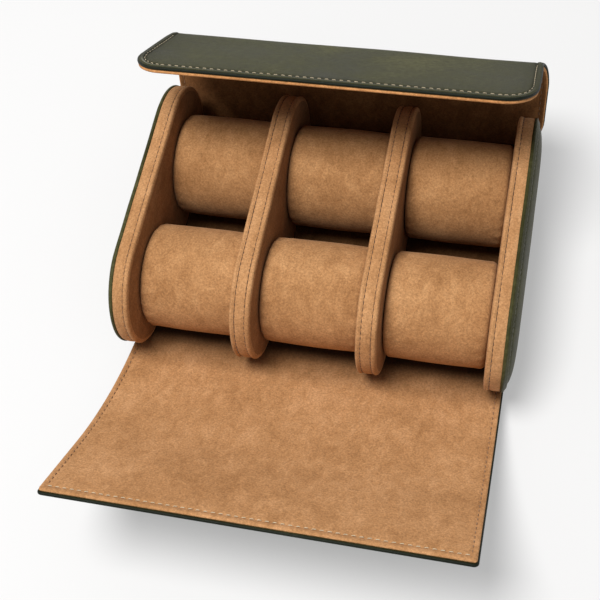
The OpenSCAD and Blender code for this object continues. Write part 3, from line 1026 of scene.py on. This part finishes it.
def build_divider(side, sign):
    name = f"{side}_divider"
    x0 = sign * DIVIDER_X - DIVIDER_T / 2
    far_seam = DIVIDER_T - LIP_W
    strip = turned_in(LIP_W)[::-1] + gusset_points(LIP_W + GUSSET_GAP, far_seam) + turned_in(far_seam)
    gusset_strip(name, strip, 1, x0, seed=21.0 + sign)
    for face, turn, start in (("left", -1, x0 + LIP_W), ("right", 1, x0 + far_seam)):
        nodes = [f"{name}_{face}_face"] + ([f"{name}_core"] if face == "left" else [])
        suede_face(f"{name}_{face}_cover", f"{name}_{face}_seam", nodes, 0.0, LIP_W, turn, start,
                   seed=31.0 + 3 * turn + sign)


# ---- pillows

PILLOW_AROUND = 120
PILLOW_ALONG = 30
PILLOW_ARC = 7
END_RINGS = (5.0, 11.0, 16.0, 19.5)     # radii of the rings on a pillow's flat ends
END_SLIM = 0.5          # how much less its radius is at its ends
PILLOW_SLACK = 0.08     # how far its cover lies inside the CAD's,
END_SLACK = 0.1         # and its ends
DIMPLE = 0.15           # how far the middle of an end lies in
PUCKERS = 23            # round each end
PUCKER_DEPTH = 0.22
BAY_SEEDS = {"left": 1.0, "middle": 2.0, "right": 3.0}
ROW_SEEDS = {"front": 0.0, "back": 10.0}


def pillow_profile(half, radius):
    """(x, r) points from end to end: a flat end, a rounded edge, the side, and the same again."""
    ends = [(half, r) for r in END_RINGS]
    turn = np.linspace(0, pi / 2, PILLOW_ARC)
    middle_x, middle_r = half - PILLOW_EDGE, radius - PILLOW_EDGE
    edge = [(middle_x + PILLOW_EDGE * cos(a), middle_r + PILLOW_EDGE * sin(a)) for a in turn]
    right = ends + edge
    side = np.linspace(-edge[-1][0], edge[-1][0], PILLOW_ALONG)[1:-1]
    left = [(-x, r) for x, r in right]
    return left + [(x, radius) for x in side] + right[::-1]


def pillow_rings(half, radius):
    """A pillow's vertices ring by ring, a little slimmer towards its ends."""
    angles = np.linspace(0, 2 * pi, PILLOW_AROUND, endpoint=False)
    rings = []
    for x, r in pillow_profile(half, radius):
        slim = r - END_SLIM * (x / half) ** 2 * min(1.0, r / radius)
        rings.append(np.stack([np.full_like(angles, x), slim * np.cos(angles), slim * np.sin(angles)], 1))
    return rings


def soften(verts, centre, half, radius, seed):
    """Makes a pillow's vertices uneven all over, with puckers round its ends."""
    r = np.maximum(np.hypot(verts[:, 1], verts[:, 2]), 1e-6)
    share = r / radius
    uneven = wobble(verts + centre, 21, 0.55, seed) + wobble(verts, 8, 0.16, seed)
    pucker = PUCKER_DEPTH * np.sin(np.arctan2(verts[:, 2], verts[:, 1]) * PUCKERS + 3 * seed)
    pucker = pucker * ridge(np.abs(verts[:, 0]), height=1.0, width=2.4, at=half - 2.5) * share
    out = -PILLOW_SLACK + uneven * 0.30 + pucker
    verts[:, 1:] *= (1 + out * share / r)[:, None]


def pillow_faces(rows):
    """Quads along a pillow, and fans on its ends round the last two vertices."""
    faces = grid_faces(rows, PILLOW_AROUND, wrap=True, flip=True)
    last_row = (rows - 1) * PILLOW_AROUND
    first, last = rows * PILLOW_AROUND, rows * PILLOW_AROUND + 1
    for j in range(PILLOW_AROUND):
        k = (j + 1) % PILLOW_AROUND
        faces.append((first, k, j))
        faces.append((last, last_row + j, last_row + k))
    return faces


def build_pillow(row, bay):
    name = f"pillow_{row}_{bay}"
    low, high = box_mm(f"{name}_cover")
    centre = (low + high) / 2
    half, radius = (high[0] - low[0]) / 2, (high[2] - low[2]) / 2
    rings = pillow_rings(half, radius)
    verts = np.concatenate(rings)
    soften(verts, centre, half, radius, BAY_SEEDS[bay] + ROW_SEEDS[row])
    verts = np.concatenate([verts, [(-half + DIMPLE, 0, 0), (half - DIMPLE, 0, 0)]])
    verts[:, 0] *= (half - END_SLACK) / half
    # the back row gets the darker copy: painted shade
    nap = SUEDE_PILLOW_SHADED if row == "back" else SUEDE_PILLOW
    piece = make_piece(name, verts + centre, pillow_faces(len(rings)), [nap], sharp_deg=75)
    dress(piece, "suede_pillow", name, f"{name}_cover", f"{name}_core")


# ---- camera

# the camera as solved from the photograph, in the case's own frame
CAMERA_AT = (101.9, -283.7, 547.7)
CAMERA_TURN = radians(12.13)    # about the case's upright axis
CAMERA_RISE = radians(24.82)    # off the case's upright axis, towards the front
CAMERA_ROLL = radians(12.35)
CAMERA_FOCUS = 1149 / 600            # focal length over the picture's width
CAMERA_SENSOR = 36
CAMERA_CLIP = (0.01, 50)             # in metres


def build_camera():
    data = bpy.data.cameras.new("camera")
    data.sensor_width = CAMERA_SENSOR
    data.lens = CAMERA_SENSOR * CAMERA_FOCUS
    data.clip_start, data.clip_end = CAMERA_CLIP
    camera = add_object("camera", data)
    level = cos(CAMERA_RISE)
    look = Vector((-sin(CAMERA_TURN) * level, sin(CAMERA_RISE), -cos(CAMERA_TURN) * level))
    right = Vector((cos(CAMERA_TURN), 0, -sin(CAMERA_TURN)))
    up = right.cross(look)
    rolled = cos(CAMERA_ROLL) * right + sin(CAMERA_ROLL) * up
    top = cos(CAMERA_ROLL) * up - sin(CAMERA_ROLL) * right
    axes = Matrix((rolled, top, -look)).transposed().to_4x4()
    camera.matrix_world = Matrix.Translation(Vector(CAMERA_AT) * MM) @ axes
    bpy.context.scene.camera = camera


# ---- floor and light, in metres

FLOOR_HALF = 6.0
FLOOR_TONE = (0.79, 0.79, 0.795)
PAPER_TONE = (0.95, 0.95, 0.95, 1.0)
PAPER_WHITE = 0.36      # how much of the floor the camera sees as plain white
WORLD_STRENGTH = 0.34
KEY_AT = (-0.30, -0.20, 1.52)
KEY_AIM = (0, -0.04, 0.03)
KEY_SIZE = 0.66
KEY_POWER = 23.6
KEY_COLOUR = (1.0, 0.99, 0.975)


def pale(name, colour):
    """A pale surface that the camera, also in mirrors and through glass, sees partly as white."""
    material, tree, shader = new_material(name)
    grain = noise_node(tree, object_coords(tree), scale=3.0, detail=2.0, rough=0.5)
    mottle(tree, shader, grain, colour, darkest=0.99, low=0.3, high=0.7)
    set_inputs(shader, {"Roughness": 0.9, "Specular IOR Level": 0.1})
    white = tree.nodes.new("ShaderNodeEmission")
    set_inputs(white, {"Color": PAPER_TONE})
    path = tree.nodes.new("ShaderNodeLightPath")
    seen = path.outputs["Is Camera Ray"]
    for ray in ("Is Glossy Ray", "Is Transmission Ray"):
        seen = math_node(tree, "MAXIMUM", seen, path.outputs[ray])
    both = tree.nodes.new("ShaderNodeMixShader")
    tree.links.new(math_node(tree, "MULTIPLY", seen, PAPER_WHITE), both.inputs[0])
    tree.links.new(shader.outputs[0], both.inputs[1])
    tree.links.new(white.outputs[0], both.inputs[2])
    out = next(node for node in tree.nodes if node.type == "OUTPUT_MATERIAL")
    tree.links.new(both.outputs[0], out.inputs[0])
    return material


def build_stage():
    mesh = bpy.data.meshes.new("floor")
    corners = [(sx * FLOOR_HALF, sy * FLOOR_HALF, 0) for sx, sy in ((-1, -1), (1, -1), (1, 1), (-1, 1))]
    mesh.from_pydata(corners, [], [(0, 1, 2, 3)])
    mesh.materials.append(pale("floor_paper", FLOOR_TONE))
    add_object("floor", mesh)


def build_key_light():
    data = bpy.data.lights.new("key", "AREA")
    data.shape = "DISK"
    data.size = KEY_SIZE
    data.energy = KEY_POWER
    data.color = KEY_COLOUR
    lamp = add_object("key", data)
    lamp.location = KEY_AT
    lamp.rotation_euler = (Vector(KEY_AIM) - Vector(KEY_AT)).to_track_quat("-Z", "Y").to_euler()


def build_world():
    world = bpy.data.worlds.new("world")
    bpy.context.scene.world = world
    world.use_nodes = True
    background = world.node_tree.nodes["Background"]
    set_inputs(background, {"Color": (1.0, 1.0, 1.0, 1.0), "Strength": WORLD_STRENGTH})
    bpy.context.scene.view_settings.view_transform = "Standard"


# ---- the whole

def dress_hidden_nodes():
    """Gives the CAD nodes the materials of what the covers hide."""
    for name, piece in frame["nodes"].items():
        material = FOAM if name.startswith("pillow") else PLATE if "magnet" in name else BOARD
        for slot in piece.material_slots:
            slot.material = material


build_camera()
dress_hidden_nodes()
build_wrap()
build_stitches()
build_panel("left", 1)
build_panel("right", -1)
build_divider("left", -1)
build_divider("right", 1)
for pillow_row in ("front", "back"):
    for pillow_bay in ("left", "middle", "right"):
        build_pillow(pillow_row, pillow_bay)
build_stage()
build_world()
build_key_light()
